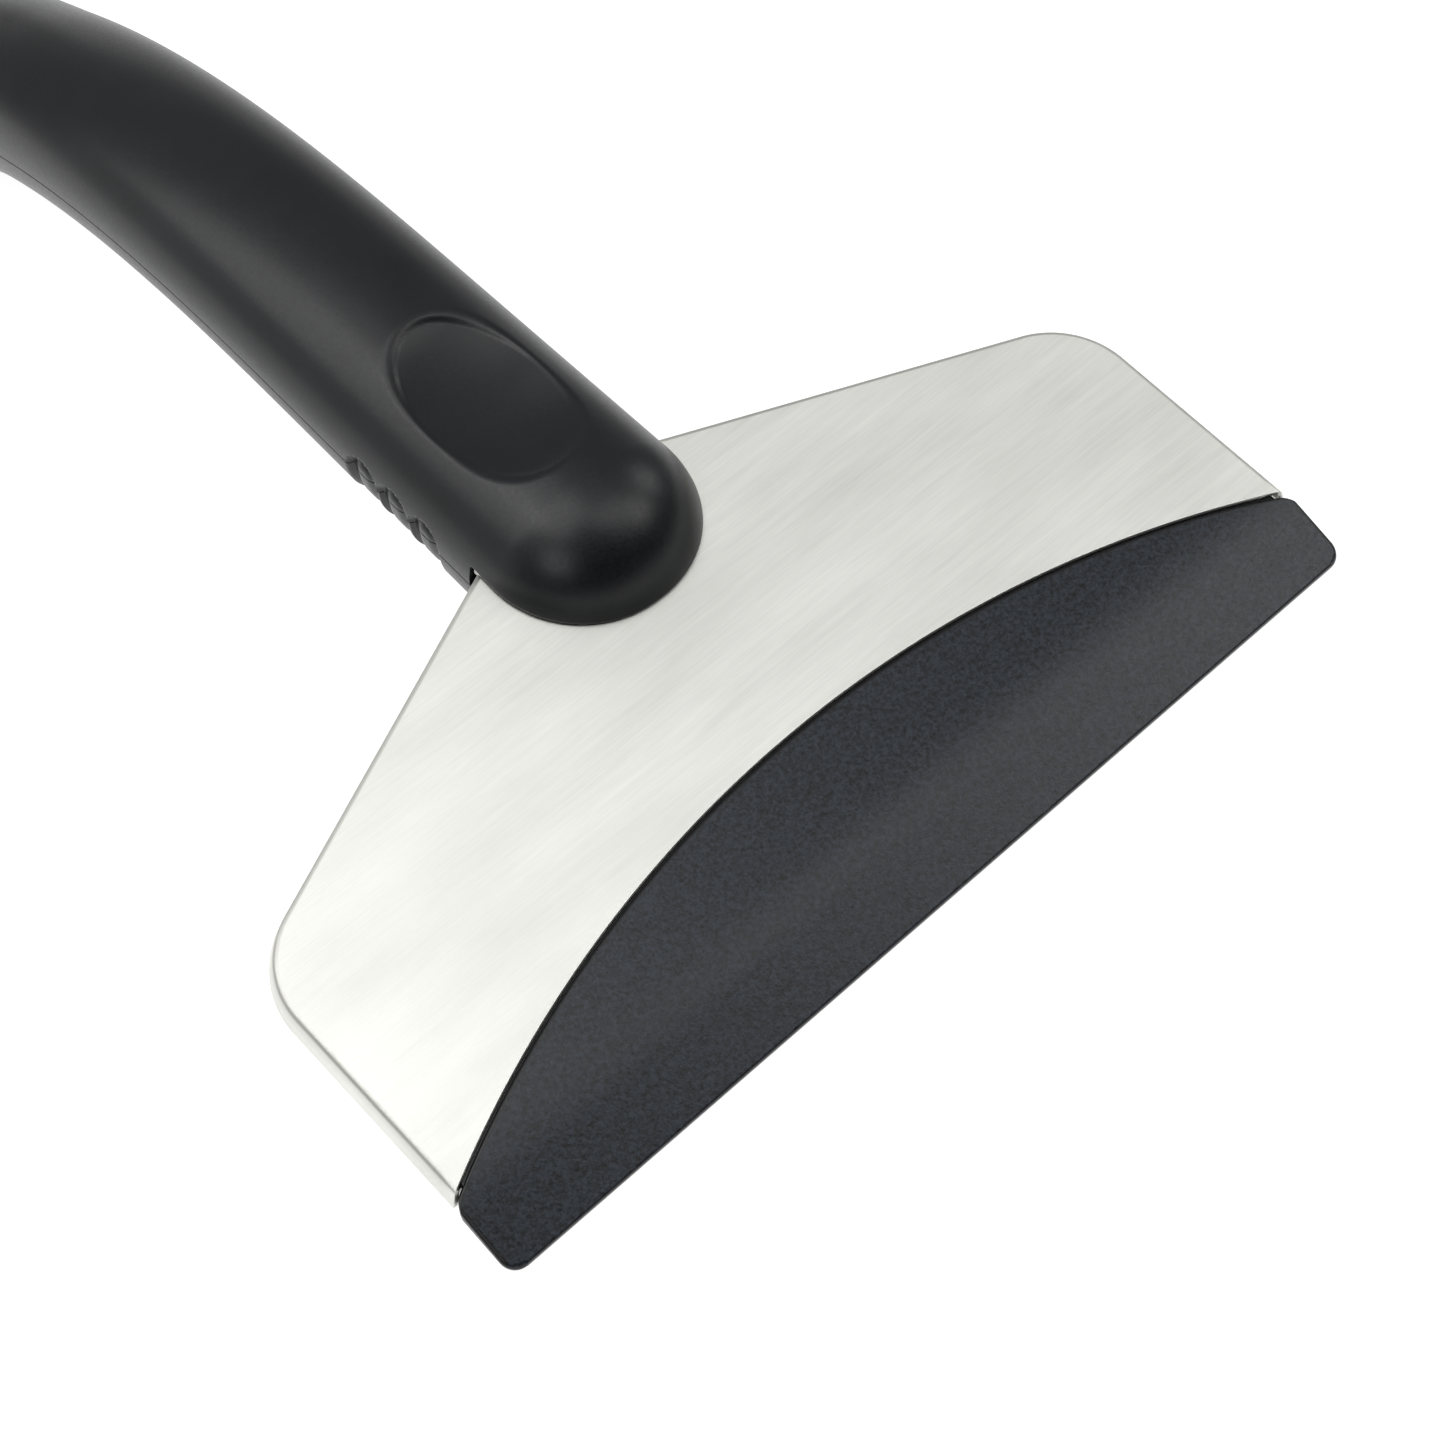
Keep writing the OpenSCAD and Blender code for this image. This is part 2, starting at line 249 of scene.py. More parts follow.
def carve(piece, cutters, operation):
    """Joins (UNION) or cuts away (DIFFERENCE) closed solids, and removes them."""
    for cutter in cutters:
        step = piece.modifiers.new(operation.lower(), "BOOLEAN")
        step.operation = operation
        step.solver = "MANIFOLD"
        step.object = cutter
        bake_modifiers(piece)
        bpy.data.objects.remove(cutter)


def stacked(name, low, rings, high, place):
    """A closed solid from rings of points, all with as many points, stacked between a tip at
    each end of the axis."""
    rows, n = rings.shape[:2]
    last = 1 + (rows - 1) * n
    verts = [(0, 0, low), *rings.reshape(-1, 3), (0, 0, high)]
    faces = []
    for k in range(n):
        m = (k + 1) % n
        faces.append((0, 1 + m, 1 + k))
        for a in range(1, last, n):
            faces.append((a + k, a + m, a + n + m, a + n + k))
        faces.append((len(verts) - 1, last + k, last + m))
    piece = new_piece(name, verts, faces)
    piece.data.transform(place)
    return outward(piece)


def lathe(name, profile, place, segments=64):
    """A closed solid turned about z from (radius, height) points that run from axis to axis."""
    turns = [2 * math.pi * k / segments for k in range(segments)]
    rings = np.array([[(r * math.cos(t), r * math.sin(t), z) for t in turns]
                      for r, z in profile[1:-1]])
    return stacked(name, profile[0][1], rings, profile[-1][1], place)


def rod(name, r, low, high, place):
    """A plain round bar along z, from low to high."""
    return lathe(name, [(0, low), (r, low), (r, high), (0, high)], place)


def block(name, low, high, place=Matrix()):
    """A box between two corners."""
    bm = bmesh.new()
    bmesh.ops.create_cube(bm, size=1)
    size = Vector(high) - Vector(low)
    for v in bm.verts:
        v.co = Vector(low) + Vector(size[i] * (v.co[i] + 0.5) for i in range(3))
    bm.transform(place)
    return from_bmesh(name, bm)


def coordinates(piece):
    """A piece's vertices, as an array of rows (x, y, z)."""
    co = np.empty(len(piece.data.vertices) * 3)
    piece.data.vertices.foreach_get("co", co)
    return co.reshape(-1, 3)


def mark(piece, name, amount):
    """Stores an amount from 0 to 1 at each vertex, for a material to read."""
    layer = piece.data.attributes.new(name, "FLOAT", "POINT")
    layer.data.foreach_set("value", np.clip(amount, 0, 1))


def finish_mesh(piece, sharp=35, weighted=True):
    """Smooth shading that breaks at edges over so many degrees, and a map of 100 mm squares."""
    mesh = piece.data
    mesh.shade_smooth()
    mesh.set_sharp_from_angle(angle=math.radians(sharp))
    layer = mesh.uv_layers[0] if mesh.uv_layers else mesh.uv_layers.new(name="UVMap")
    corner = np.empty(len(mesh.loops), int)
    mesh.loops.foreach_get("vertex_index", corner)
    flat = coordinates(piece)[corner][:, :2] / 100
    layer.data.foreach_set("uv", flat.ravel())
    if weighted:
        step = piece.modifiers.new("weighted normals", "WEIGHTED_NORMAL")
        step.keep_sharp = True


def settle(piece, node, material):
    """Lays a piece down in the CAD frame in place of its CAD node."""
    piece.data.transform(HEAD)
    piece.data.materials.clear()
    piece.data.materials.append(material)
    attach(piece, "root")
    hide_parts(node)


# ---------------------------------------------------------------- materials

def new_material(name, colour, roughness, metallic=0.0, level=0.5):
    """A material with its shader's uniform values set, and its node tools."""
    material = bpy.data.materials.new(name)
    material.use_nodes = True
    shader = material.node_tree.nodes["Principled BSDF"]
    shader.inputs["Base Color"].default_value = (*colour, 1)
    shader.inputs["Roughness"].default_value = roughness
    shader.inputs["Metallic"].default_value = metallic
    shader.inputs["Specular IOR Level"].default_value = level
    return material, material.node_tree, shader


def noise(tree, scale, stretch=(1, 1, 1), detail=3.0, rough=0.5):
    """Noise over the object's own coordinates; scale is per metre."""
    where = tree.nodes.new("ShaderNodeTexCoord")
    mapping = tree.nodes.new("ShaderNodeMapping")
    mapping.inputs["Scale"].default_value = stretch
    texture = tree.nodes.new("ShaderNodeTexNoise")
    texture.inputs["Scale"].default_value = scale
    texture.inputs["Detail"].default_value = detail
    texture.inputs["Roughness"].default_value = rough
    tree.links.new(where.outputs["Object"], mapping.inputs["Vector"])
    tree.links.new(mapping.outputs["Vector"], texture.inputs["Vector"])
    return texture.outputs["Fac"]


def ramp(tree, value, low, high, start=0.0, end=1.0):
    """Maps a value's range start to end onto low to high."""
    node = tree.nodes.new("ShaderNodeMapRange")
    node.inputs["From Min"].default_value = start
    node.inputs["From Max"].default_value = end
    node.inputs["To Min"].default_value = low
    node.inputs["To Max"].default_value = high
    tree.links.new(value, node.inputs["Value"])
    return node.outputs["Result"]


def blend_colours(tree, value, first, second):
    """Blends from a colour or a colour socket to a second colour."""
    node = tree.nodes.new("ShaderNodeMix")
    node.data_type = "RGBA"
    if isinstance(first, tuple):
        node.inputs["A"].default_value = (*first, 1)
    else:
        tree.links.new(first, node.inputs["A"])
    node.inputs["B"].default_value = (*second, 1)
    tree.links.new(value, node.inputs["Factor"])
    return node.outputs["Result"]


def over_marked(tree, name, colour, other):
    """Another colour where the mesh's named attribute is 1."""
    attribute = tree.nodes.new("ShaderNodeAttribute")
    attribute.attribute_name = name
    return blend_colours(tree, attribute.outputs["Fac"], colour, other)


def combine(tree, operation, first, second):
    """A sum or product of sockets or plain numbers."""
    node = tree.nodes.new("ShaderNodeMath")
    node.operation = operation
    for socket, value in zip(node.inputs, (first, second)):
        if isinstance(value, (int, float)):
            socket.default_value = value
        else:
            tree.links.new(value, socket)
    return node.outputs["Value"]


def weighted_sum(tree, first, weight, second):
    """Two values mixed by the first one's weight."""
    return combine(tree, "ADD", combine(tree, "MULTIPLY", first, weight),
                   combine(tree, "MULTIPLY", second, 1 - weight))


def contrast(tree, value, low=0.0, high=1.0):
    """Stretches the middle of a noise's range over low to high."""
    return ramp(tree, value, low, high, 0.3, 0.7)


def bump(tree, shader, height, distance):
    """Relief from a value, as deep as a distance in metres."""
    node = tree.nodes.new("ShaderNodeBump")
    node.inputs["Strength"].default_value = 1.0
    node.inputs["Distance"].default_value = distance
    tree.links.new(height, node.inputs["Height"])
    tree.links.new(node.outputs["Normal"], shader.inputs["Normal"])


def brushed_steel():
    """Stainless sheet brushed along the scraping edge: fine lines, broader ones, faint clouds,
    and painted shade, a darker colour, where the attribute "fold" is 1."""
    material, tree, shader = new_material("brushed_steel", (0.80, 0.805, 0.77), 0.46, metallic=1.0)
    fine = noise(tree, 1.0, (150, 5200, 5200), detail=4, rough=0.65)
    broad = noise(tree, 1.0, (75, 1500, 1500), detail=3, rough=0.6)
    cloud = noise(tree, 1.0, (45, 130, 130), detail=3)
    lines = weighted_sum(tree, fine, 0.6, broad)
    tone = contrast(tree, weighted_sum(tree, lines, 0.6, cloud))
    brushed = blend_colours(tree, tone, (0.60, 0.605, 0.57), (0.79, 0.795, 0.755))
    # painted shade: the fold's colour darkened to grey
    fold_shaded = over_marked(tree, "fold", brushed, (0.50, 0.50, 0.47))
    tree.links.new(fold_shaded, shader.inputs["Base Color"])
    tree.links.new(contrast(tree, lines, 0.42, 0.54), shader.inputs["Roughness"])
    bump(tree, shader, lines, 0.000012)
    shader.inputs["Anisotropic"].default_value = 0.68
    shader.inputs["Anisotropic Rotation"].default_value = 0.25
    tangent = tree.nodes.new("ShaderNodeTangent")
    tangent.direction_type = "UV_MAP"
    tangent.uv_map = "UVMap"
    tree.links.new(tangent.outputs["Tangent"], shader.inputs["Tangent"])
    return material


def grained_plastic():
    """The insert: matt blue-grey plastic with a coarse spark-eroded grain, and sides painted
    near black as shade where the attribute "side" is 1."""
    material, tree, shader = new_material("insert_grain", (0.012, 0.014, 0.018), 0.35, level=0.32)
    grain = noise(tree, 3200, detail=2, rough=0.6)
    mottle = noise(tree, 1900, detail=3, rough=0.7)
    tone = ramp(tree, weighted_sum(tree, grain, 0.35, mottle), 0, 1, 0.38, 0.62)
    face = blend_colours(tree, tone, (0.0005, 0.0007, 0.0012), (0.0168, 0.0222, 0.0305))
    # painted shade: the insert's sides darkened near black
    side_shaded = over_marked(tree, "side", face, (0.002, 0.002, 0.0025))
    tree.links.new(side_shaded, shader.inputs["Base Color"])
    tree.links.new(contrast(tree, grain, 0.28, 0.42), shader.inputs["Roughness"])
    bump(tree, shader, grain, 0.00002)
    return material


def satin_plastic():
    """The handle: black moulded plastic with a satin gloss and a faint waviness."""
    material, tree, shader = new_material("handle_satin", (0.004, 0.004, 0.0045), 0.34, level=0.32)
    wave = noise(tree, 180, detail=2)
    fine = noise(tree, 2600, detail=2, rough=0.6)
    colour = blend_colours(tree, contrast(tree, wave),
                           (0.0022, 0.0026, 0.0036), (0.0038, 0.0043, 0.0057))
    tree.links.new(colour, shader.inputs["Base Color"])
    tree.links.new(contrast(tree, fine, 0.3, 0.38), shader.inputs["Roughness"])
    bump(tree, shader, fine, 0.000008)
    return material


def zinc_plate():
    """Bright zinc plated screws with fine turning marks and slight clouding."""
    material, tree, shader = new_material("zinc_screws", (0.62, 0.63, 0.64), 0.3, metallic=1.0)
    cloud = noise(tree, 900, detail=3)
    colour = blend_colours(tree, contrast(tree, cloud), (0.50, 0.51, 0.53), (0.70, 0.71, 0.71))
    tree.links.new(colour, shader.inputs["Base Color"])
    tree.links.new(contrast(tree, cloud, 0.22, 0.42), shader.inputs["Roughness"])
    bump(tree, shader, noise(tree, 5200, detail=2), 0.00001)
    return material


def spacer_plastic():
    """The hidden spacer: plain moulded nylon."""
    material, tree, shader = new_material("spacer_nylon", (0.05, 0.05, 0.05), 0.5)
    grain = noise(tree, 1200, detail=2)
    colour = blend_colours(tree, grain, (0.04, 0.04, 0.04), (0.065, 0.065, 0.062))
    tree.links.new(colour, shader.inputs["Base Color"])
    tree.links.new(contrast(tree, grain, 0.42, 0.6), shader.inputs["Roughness"])
    bump(tree, shader, grain, 0.00003)
    return material


# ---------------------------------------------------------------- the steel plates

def shoulder_path(inset):
    """Right side of the head's outline, from the mouth's corner to the neck, as points."""
    turn = math.pi / 2 - math.atan(SHOULDER_RISE)
    back = SHOULDER_R * math.tan(turn / 2)
    centre = (FACE_A - SHOULDER_R, SHOULDER_Y - back)
    r = SHOULDER_R - inset
    side = FACE_A - inset
    low = MOUTH_C + math.sqrt(MOUTH_R ** 2 - side ** 2)
    straight = [(side, low + (centre[1] - low) * k / 12) for k in range(12)]
    arc = [(centre[0] + r * math.cos(turn * k / 32), centre[1] + r * math.sin(turn * k / 32))
           for k in range(33)]
    top = (NECK_A, NECK_Y - inset * math.hypot(1, SHOULDER_RISE))
    slope = [(arc[-1][0] + (top[0] - arc[-1][0]) * k / 16, arc[-1][1] + (top[1] - arc[-1][1]) * k / 16)
             for k in range(1, 17)]
    return straight + arc + slope


def half_face(inset, height):
    """Right half of a plate: round the mouth, the side, the neck and tang, and back down the
    middle line round half of each screw hole."""
    start = math.asin((FACE_A - inset) / MOUTH_R)
    mouth = [(MOUTH_R * math.sin(start * k / 72), MOUTH_C + MOUTH_R * math.cos(start * k / 72))
             for k in range(72)]
    tang = [(NECK_A, TANG_Y), (TANG_A, TANG_Y), (TANG_A, TANG_END - 2), (TANG_A - 2, TANG_END),
            (0, TANG_END)]
    middle = []
    for y in sorted(TANG_SCREW_Y, reverse=True):
        turns = [math.pi * k / 16 for k in range(17)]
        middle += [(TANG_HOLE_R * math.sin(t), y + TANG_HOLE_R * math.cos(t)) for t in turns]
    return [(x, y, height) for x, y in mouth + shoulder_path(inset) + tang + middle]


def rim_rows():
    """(inset, height) of the folded rim, from the flat face round the fold and down."""
    lean = math.atan2(HEAD_DEPTH, RIM_FLARE)
    reach = FOLD_R * math.tan(lean / 2)
    rows = [(reach - FOLD_R * math.sin(lean * k / 7), -FOLD_R * (1 - math.cos(lean * k / 7)))
            for k in range(8)]
    return rows + [(-RIM_FLARE * 0.6, -HEAD_DEPTH * 0.6), (-RIM_FLARE, -HEAD_DEPTH)]


def sheet_steel(name, node, rows, material):
    """A plate as one sheet from (inset, height) rows: half faces inside the first row, rim
    strips between the rows, then thickness and dressed edges."""
    verts, faces = [], []
    for side in (1, -1):
        half = [(side * x, y, z) for x, y, z in half_face(rows[0][0], rows[0][1])]
        base = len(verts)
        verts += half
        order = list(range(base, base + len(half)))
        faces.append(order if side < 0 else order[::-1])
        for (upper, z0), (lower, z1) in zip(rows, rows[1:]):
            for path, z in ((shoulder_path(upper), z0), (shoulder_path(lower), z1)):
                verts += [(side * x, y, z) for x, y in path]
            n = len(shoulder_path(upper))
            a, b = len(verts) - 2 * n, len(verts) - n
            for k in range(n - 1):
                quad = (a + k, a + k + 1, b + k + 1, b + k)
                faces.append(quad if side < 0 else quad[::-1])
    piece = new_piece(name, verts, faces)
    bm = bmesh.new()
    bm.from_mesh(piece.data)
    bmesh.ops.remove_doubles(bm, verts=bm.verts, dist=1e-4)
    bmesh.ops.recalc_face_normals(bm, faces=bm.faces)
    widest = max(bm.faces, key=lambda f: f.calc_area())
    if widest.normal.z < 0:
        bmesh.ops.reverse_faces(bm, faces=bm.faces)
    bm.to_mesh(piece.data)
    bm.free()
    thick = piece.modifiers.new("thickness", "SOLIDIFY")
    thick.thickness = SHEET_T
    thick.offset = -1
    thick.use_even_offset = True
    dress = piece.modifiers.new("dressed edges", "BEVEL")
    dress.width = DRESSED
    dress.segments = 2
    dress.limit_method = "ANGLE"
    dress.angle_limit = math.radians(60)
    dress.loop_slide = False
    bake_modifiers(piece)
    # painted shade along the front plate's fold
    paint_fold_shade(piece, len(rows) > 1)
    finish_mesh(piece)
    settle(piece, node, material)


def paint_fold_shade(piece, folded):
    """Marks painted shade along the fold, clear of the mouth's own edge, as the attribute "fold"."""
    x, y, z = coordinates(piece).T
    off_mouth = np.hypot(x, y - MOUTH_C) > MOUTH_R + 0.25
    start, end = FOLD_SHADE
    shade = np.minimum(-z / start, (z + end) / 0.2)
    mark(piece, "fold", off_mouth * shade * folded)


def steel_plates():
    """The folded front plate, and the flat back plate inside its rim."""
    steel = brushed_steel()
    sheet_steel("front_plate_folded", "front_plate", rim_rows(), steel)
    wall_inset = SHEET_T - RIM_FLARE * (1 - SHEET_T / HEAD_DEPTH)
    back = (wall_inset + PLAY, SHEET_T - HEAD_DEPTH)
    sheet_steel("back_plate_flat", "back_plate", [back], steel)


# ---------------------------------------------------------------- the scraping insert

def rounding(distance, radius):
    """How far a rounded edge falls away at a distance in from that edge."""
    inner = np.clip(radius - distance, 0, radius)
    return radius - np.sqrt(radius ** 2 - inner ** 2)


def crowded(count, crowd=2.2):
    """Numbers from 0 to 1, closer together at both ends."""
    t = np.linspace(-1, 1, count)
    return 0.5 + 0.5 * np.tanh(crowd * t) / math.tanh(crowd)


def soft_bend(y):
    """Depth of the insert's front face: level behind the bevel, sloping to the edge, with
    the crease rounded to a parabola."""
    slope = (EDGE_DROP - PLAY) / BEVEL_Y
    t = np.clip((y - (BEVEL_Y - CREASE)) / (2 * CREASE), 0, 1)
    bend = slope * CREASE * (1 - t) ** 2
    line = slope * (BEVEL_Y - y)
    return -PLAY - np.where(t > 0, bend, line)


def to_sides(x):
    """Distance from the insert's two ends."""
    return BLADE_A - np.abs(x)


def insert_grid(columns, rows):
    """x, y and the distance to the mouth's line, on a grid that fills the insert's outline."""
    x = (2 * crowded(columns, 2.6) - 1) * BLADE_A
    low = rounding(to_sides(x), EDGE_R)
    high = (MOUTH_C + np.sqrt((MOUTH_R - MOUTH_GAP) ** 2 - x ** 2)
            - rounding(to_sides(x), HORN_R))
    y = low + (high - low) * crowded(rows, 2.0)[:, None]
    return np.broadcast_to(x, y.shape), y, high - y


def insert_fall(x, y, to_mouth):
    """How far the insert's faces fall away at its rounded arrises."""
    over = np.abs(x) - (BLADE_A - EDGE_R)
    corner = EDGE_R - np.hypot(over, np.clip(EDGE_R - y, 0, None))
    ends = np.minimum(to_sides(x), np.where(over > 0, corner, EDGE_R))
    return np.max([rounding(y, ARRIS_R), rounding(np.clip(ends, 0, None), RIM_R),
                   rounding(np.clip(to_mouth, 0, None), RIM_R)], axis=0)


def blade_insert():
    """The scraping insert as a grid over its outline, front and back, with rounded edges."""
    columns, rows = 321, 61
    x, y, to_mouth = insert_grid(columns, rows)
    fall = insert_fall(x, y, to_mouth)
    top = soft_bend(y) - fall
    under_slope = (EDGE_DROP + EDGE_T - HEAD_DEPTH + PLAY) / (BEVEL_Y - 1)
    under = np.minimum(PLAY - HEAD_DEPTH, -EDGE_DROP - EDGE_T + under_slope * y) + 0.6 * fall
    verts = [np.stack([x, y, z], -1).reshape(-1, 3) for z in (top, under)]
    count = rows * columns
    faces = []
    for i in range(rows - 1):
        for j in range(columns - 1):
            a = i * columns + j
            quad = (a, a + 1, a + columns + 1, a + columns)
            faces.append(quad)
            faces.append(tuple(count + k for k in reversed(quad)))
    last = (rows - 1) * columns
    rim = ([*range(columns)] + [*range(2 * columns - 1, count, columns)]
           + [*range(count - 2, last - 1, -1)] + [*range(last - columns, 0, -columns)])
    for a, b in zip(rim, rim[1:] + rim[:1]):
        faces.append((a, count + a, count + b, b))
    piece = outward(new_piece("scraping_insert", np.concatenate(verts), faces))
    carve(piece, [insert_tongue()], "UNION")
    # painted shade round the insert's outline
    paint_side_shade(piece)
    finish_mesh(piece, 50, weighted=False)
    settle(piece, "blade_insert", grained_plastic())


def paint_side_shade(piece):
    """Marks the band round the insert's outline that is painted darker as shade, as the attribute
    "side".
    """
    x, y, z = coordinates(piece).T
    to_mouth = (MOUTH_R - MOUTH_GAP - np.hypot(x, y - MOUTH_C)
                - rounding(to_sides(x), HORN_R))
    inward = np.min([to_sides(x), to_mouth, 4 * y], axis=0)
    mark(piece, "side", 1 - (inward - SHADED_BAND) / 0.15)


def insert_tongue():
    """The band that runs on behind the mouth, in the pocket between the plates."""
    side = FACE_A - SHEET_T - 0.4
    steps = 64
    low = -HEAD_DEPTH + SHEET_T + PLAY
    high = -SHEET_T - PLAY
    rings = []
    for z in (low, high):
        for r in (MOUTH_R - TONGUE_LAP, MOUTH_R + TONGUE_L):
            end = math.asin(side / r)
            rings.append([(r * math.sin(end * (2 * k / steps - 1)),
                           MOUTH_C + r * math.cos(end * (2 * k / steps - 1)), z)
                          for k in range(steps + 1)])
    n = steps + 1
    verts = sum(rings, [])
    faces = []
    for k in range(steps):
        inner_low, outer_low, inner_high, outer_high = k, n + k, 2 * n + k, 3 * n + k
        faces += [(inner_low, inner_low + 1, outer_low + 1, outer_low),
                  (inner_high, outer_high, outer_high + 1, inner_high + 1),
                  (inner_low, inner_high, inner_high + 1, inner_low + 1),
                  (outer_low, outer_low + 1, outer_high + 1, outer_high)]
    for k in (0, steps):
        faces.append((k, n + k, 3 * n + k, 2 * n + k))
    return outward(new_piece("tongue", verts, faces))


# ---------------------------------------------------------------- the handle

def ease(u):
    """A smooth step from 0 to 1."""
    c = np.clip(u, 0, 1)
    return c * c * (3 - 2 * c)


def pitch(s):
    """The spine's slope at a distance along it, in radians."""
    return np.radians(NOSE_PITCH - ARCH_BEND * ease((np.asarray(s, float) - ARCH_START) / ARCH_LEN))


TRAIL_STEP = 0.25
TRAIL_S = np.arange(0, SPINE_L + 1, TRAIL_STEP)
TRAIL_TURN = pitch(TRAIL_S[:-1] + TRAIL_STEP / 2)
TRAIL_Y = NOSE_Y + TRAIL_STEP * np.concatenate([[0], np.cumsum(np.cos(TRAIL_TURN))])
TRAIL_Z = NOSE_Z + TRAIL_STEP * np.concatenate([[0], np.cumsum(np.sin(TRAIL_TURN))])


def spine(s):
    """(y, z) of the spine, which runs straight on past both of its ends."""
    s = np.asarray(s, float)
    inside = np.clip(s, 0, SPINE_L)
    y = np.interp(inside, TRAIL_S, TRAIL_Y) + (s - inside) * np.cos(pitch(inside))
    z = np.interp(inside, TRAIL_S, TRAIL_Z) + (s - inside) * np.sin(pitch(inside))
    return y, z


def on_spine(s):
    """Matrix that puts an upright part on the spine, square to it."""
    y, z = spine(s)
    return Matrix.Translation((0, float(y), float(z))) @ Matrix.Rotation(float(pitch(s)), 4, "X")


def half_width(s):
    """Half the handle's width at a distance along the spine."""
    s = np.clip(s, 0, None)
    taper = TAPER_A * np.minimum(s, TAPER_L) / TAPER_L
    return NOSE_A - taper + SWELL_A * ease((s - SWELL_S) / SWELL_L)


def at_y(y):
    """Matrix that puts an upright part on the head's middle line."""
    return Matrix.Translation((0, y, 0))


TANG_SEAT_Z = NOSE_Z - NOSE_A * SECTION_FLAT + RECESS
BUTT_SEAT_Z = RECESS - float(half_width(BUTT_SCREW_S)) * SECTION_FLAT


def soft_min(a, b, k):
    """The lower of two heights, rounded over where they cross."""
    h = np.clip(0.5 + 0.5 * (b - a) / k, 0, 1)
    return b + (a - b) * h - k * h * (1 - h)


def dished(v, x, s, b):
    """The top's height once the thumb dish is cut: a flat bowl inside a small rounded step."""
    along = np.abs((s - DISH_S) / DISH_L)
    floor = b - DISH_DEPTH + DISH_HOLLOW * (x / DISH_A) ** 2 + DISH_DEPTH * along ** 3
    near = (along < 1.6) & (np.abs(x) < half_width(DISH_S))
    bowl = np.where(near, soft_min(v, floor, DISH_ROUND), v)
    edge = (1 - np.hypot(x / DISH_A, along)) / DISH_STEP_W
    fade = 0.3 + 0.7 * ease((s - DISH_S + 5) / 12)
    return bowl - DISH_STEP * fade * ease(edge)


def scalloped(up, s):
    """Depth of the grip scallops: an arched step down on each flank, and a pad inside it
    that rises back almost to the skin."""
    rise = np.clip(up - SCALLOP_UP, 0, None) / SCALLOP_RISE
    inside = np.max([1 - np.hypot((s - c) / SCALLOP_L, rise) for c in SCALLOPS], axis=0)
    wall = np.clip(inside / SCALLOP_WALL, 0, 1)
    pad = 1 - SCALLOP_PAD * ease((inside - SCALLOP_WALL) / 0.6)
    return SCALLOP_DEPTH * wall * (2 - wall) * pad


def power(c):
    """A sine or cosine bent to the superellipse."""
    return np.sign(c) * np.abs(c) ** (2 / SECTION_P)


def skin(s, angle, inset):
    """Points on the handle's skin: angle 0 to pi over the top, pi to 2 pi underneath."""
    s, angle = np.broadcast_arrays(np.asarray(s, float), np.asarray(angle, float))
    nose = np.sqrt(np.clip(1 - (s / (NOSE_A - inset)) ** 2, 0, 1))
    butt = np.sqrt(np.clip(1 - ((s - SPINE_L) / (BUTT_CAP - inset)) ** 2, 0, 1))
    k = np.where(s < 0, nose, np.where(s > SPINE_L, butt, 1))
    b = half_width(s) * SECTION_FLAT - inset
    x = (half_width(s) - inset) * k * power(np.cos(angle))
    up = power(np.sin(angle))
    v = b * k * up
    v = np.where(np.sin(angle) > 0, dished(v, x, s, b), v)
    squeeze = 1 - scalloped(up, s) / half_width(0)
    x, v = x * squeeze, v * squeeze
    if inset == 0:
        x = x - np.sign(x) * np.minimum(np.abs(x), rounding(np.abs(v), PARTING_R))
    y, z = spine(s)
    turn = pitch(s)
    return np.stack([x, y - v * np.sin(turn), z + v * np.cos(turn)], -1)


def stations(fine):
    """Places along the spine: close together round both caps, the dish and the scallops."""
    nose = -NOSE_A * np.cos(np.linspace(0, math.pi / 2, 56)[1:-1])
    butt = SPINE_L + BUTT_CAP * np.cos(np.linspace(math.pi / 2, 0, 40)[1:-1])
    dish = np.arange(0, DISH_S + DISH_L + 4, fine)
    back = np.linspace(dish[-1] + 0.8, SPINE_L, 130)
    return np.concatenate([nose, dish, back, butt])


def edge_angles(middle):
    """Angles over half a section, with extra ones close to the parting line."""
    height = np.array([0, 0.004, 0.009, 0.015, 0.024, 0.04, 0.06])
    close = np.arcsin(height ** (SECTION_P / 2))
    rest = np.linspace(close[-1], math.pi - close[-1], middle)[1:-1]
    return np.concatenate([close, rest, math.pi - close[::-1]])


def half_shell(name, start):
    """One shell as a closed solid: the outer skin, the inner skin, and the rims between."""
    along = stations(0.25 if start == 0 else 0.3)
    around = edge_angles(150 if start == 0 else 120) + start
    inside = np.linspace(0, math.pi, 49) + start
    scale_nose = (NOSE_A - WALL) / NOSE_A
    scale_butt = (BUTT_CAP - WALL) / BUTT_CAP
    past_butt = SPINE_L + (along - SPINE_L) * scale_butt
    squeezed = np.where(along < 0, along * scale_nose, np.where(along > SPINE_L, past_butt, along))
    rows = len(along)
    verts, faces = [], []

    def layer(s, angles, inset):
        """Adds one skin, and returns its two long edges from tip to tip."""
        base = len(verts)
        n = len(angles)
        grid = skin(s[:, None], angles[None, :], inset).reshape(-1, 3)
        tips_s = np.array([inset - NOSE_A, SPINE_L + BUTT_CAP - inset])
        tips = skin(tips_s, np.full(2, start), inset)
        verts.extend([tips[0], *grid, tips[1]])
        for j in range(n - 1):
            faces.append((base, base + 1 + j, base + 2 + j))
            last = base + 1 + (rows - 1) * n
            faces.append((base + 1 + rows * n, last + j + 1, last + j))
        for i in range(rows - 1):
            a = base + 1 + i * n
            for j in range(n - 1):
                faces.append((a + j, a + n + j, a + n + j + 1, a + j + 1))
        first = [base] + [base + 1 + i * n for i in range(rows)] + [base + 1 + rows * n]
        final = [base] + [base + i * n + n for i in range(rows)] + [base + 1 + rows * n]
        return first, final

    outer = layer(along, around, 0)
    inner = layer(squeezed, inside, WALL)
    for run, mate in zip(outer, inner):
        for k in range(len(run) - 1):
            faces.append((run[k], run[k + 1], mate[k + 1], mate[k]))
    return outward(new_piece(name, verts, faces))


